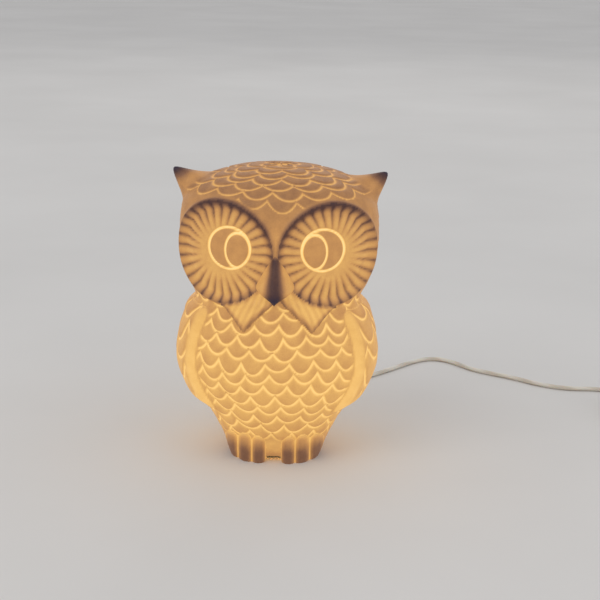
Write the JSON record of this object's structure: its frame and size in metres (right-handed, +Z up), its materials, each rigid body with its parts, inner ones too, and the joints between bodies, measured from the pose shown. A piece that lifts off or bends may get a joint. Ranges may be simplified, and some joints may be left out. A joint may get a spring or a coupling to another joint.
{
  "type": "owl table lamp",
  "caption": "Hollow translucent porcelain owl that stands as a small table lamp, lit from inside, with a holder base, inline switch, lead and plug.",
  "frame": {"origin": "on the resting surface, under the middle of the owl", "axes": "+Z up, -Y the way the owl faces, +X to a viewer's right when facing the owl"},
  "size_m": [0.3914, 0.269, 0.197],
  "materials": {
    "porcelain": "unglazed translucent bisque, lit amber from inside",
    "white_plastic": "fine moulded grain",
    "pad_rubber": "matte",
    "zinc_steel": "zinc plated",
    "lead_sheath": "soft flexible sheath",
    "core_brown": "smooth",
    "core_blue": "smooth",
    "holder_plastic": "heat resistant, satin",
    "steatite": "pressed, unglazed",
    "contact_brass": "bright pressed sheet",
    "solder": "dull",
    "bulb_cap_metal": "rolled thread, satin",
    "bulb_glass": "clear",
    "filament": "glowing coil",
    "tie_plastic": "satin",
    "pin_sleeve": "smooth"
  },
  "bodies": {
    "base": {"base_plate": "white_plastic", "base_pad_1": "pad_rubber", "base_pad_2": "pad_rubber", "base_pad_3": "pad_rubber", "holder_bracket": "zinc_steel", "bracket_screw_left": "zinc_steel", "bracket_screw_right": "zinc_steel", "nipple": "zinc_steel", "nipple_nut": "zinc_steel", "strain_relief": "lead_sheath", "cord_clamp": "white_plastic", "clamp_screw_left": "zinc_steel", "clamp_screw_right": "zinc_steel", "lead_inside": "lead_sheath", "lead_core_left": "core_brown", "lead_core_right": "core_blue", "holder_cap": "holder_plastic", "holder_insert": "steatite", "holder_sleeve": "holder_plastic", "thread_sleeve": "contact_brass", "centre_contact": "contact_brass", "terminal_screw_left": "contact_brass", "terminal_screw_right": "contact_brass", "lead_to_switch": "lead_sheath", "lead_to_coil": "lead_sheath", "lead_coil": "lead_sheath", "coil_tie": "tie_plastic", "lead_to_plug": "lead_sheath", "switch_base": "white_plastic", "switch_cover": "white_plastic", "switch_screw_left": "zinc_steel", "switch_screw_right": "zinc_steel", "switch_contact_left": "contact_brass", "switch_contact_right": "contact_brass", "plug_body": "white_plastic", "plug_pin_left": "contact_brass", "plug_pin_right": "contact_brass", "pin_sleeve_left": "pin_sleeve", "pin_sleeve_right": "pin_sleeve", "plug_relief": "lead_sheath"},
    "shell": {"owl_shell": "porcelain"},
    "bulb": {"bulb_tip": "solder", "bulb_collar": "steatite", "bulb_cap": "bulb_cap_metal", "bulb_glass": "bulb_glass", "bulb_stem": "bulb_glass", "filament_support_left": "zinc_steel", "filament_support_right": "zinc_steel", "bulb_filament": "filament"},
    "rocker": {"switch_rocker": "white_plastic"}
  },
  "joints": [
    {"name": "shell_lift", "type": "slide", "parent": "base", "child": "shell", "axis": [0, 0, 1], "range_m": [0, 0.11]},
    {"name": "bulb_unscrew", "type": "slide", "parent": "base", "child": "bulb", "axis": [0, 0, 1], "range_m": [0, 0.025]},
    {"name": "rocker_tilt", "type": "hinge", "parent": "base", "child": "rocker", "pos_m": [0.264, 0.08469, 0.013], "axis": [1, 0, 0], "range_deg": [-14, 0]}
  ]
}
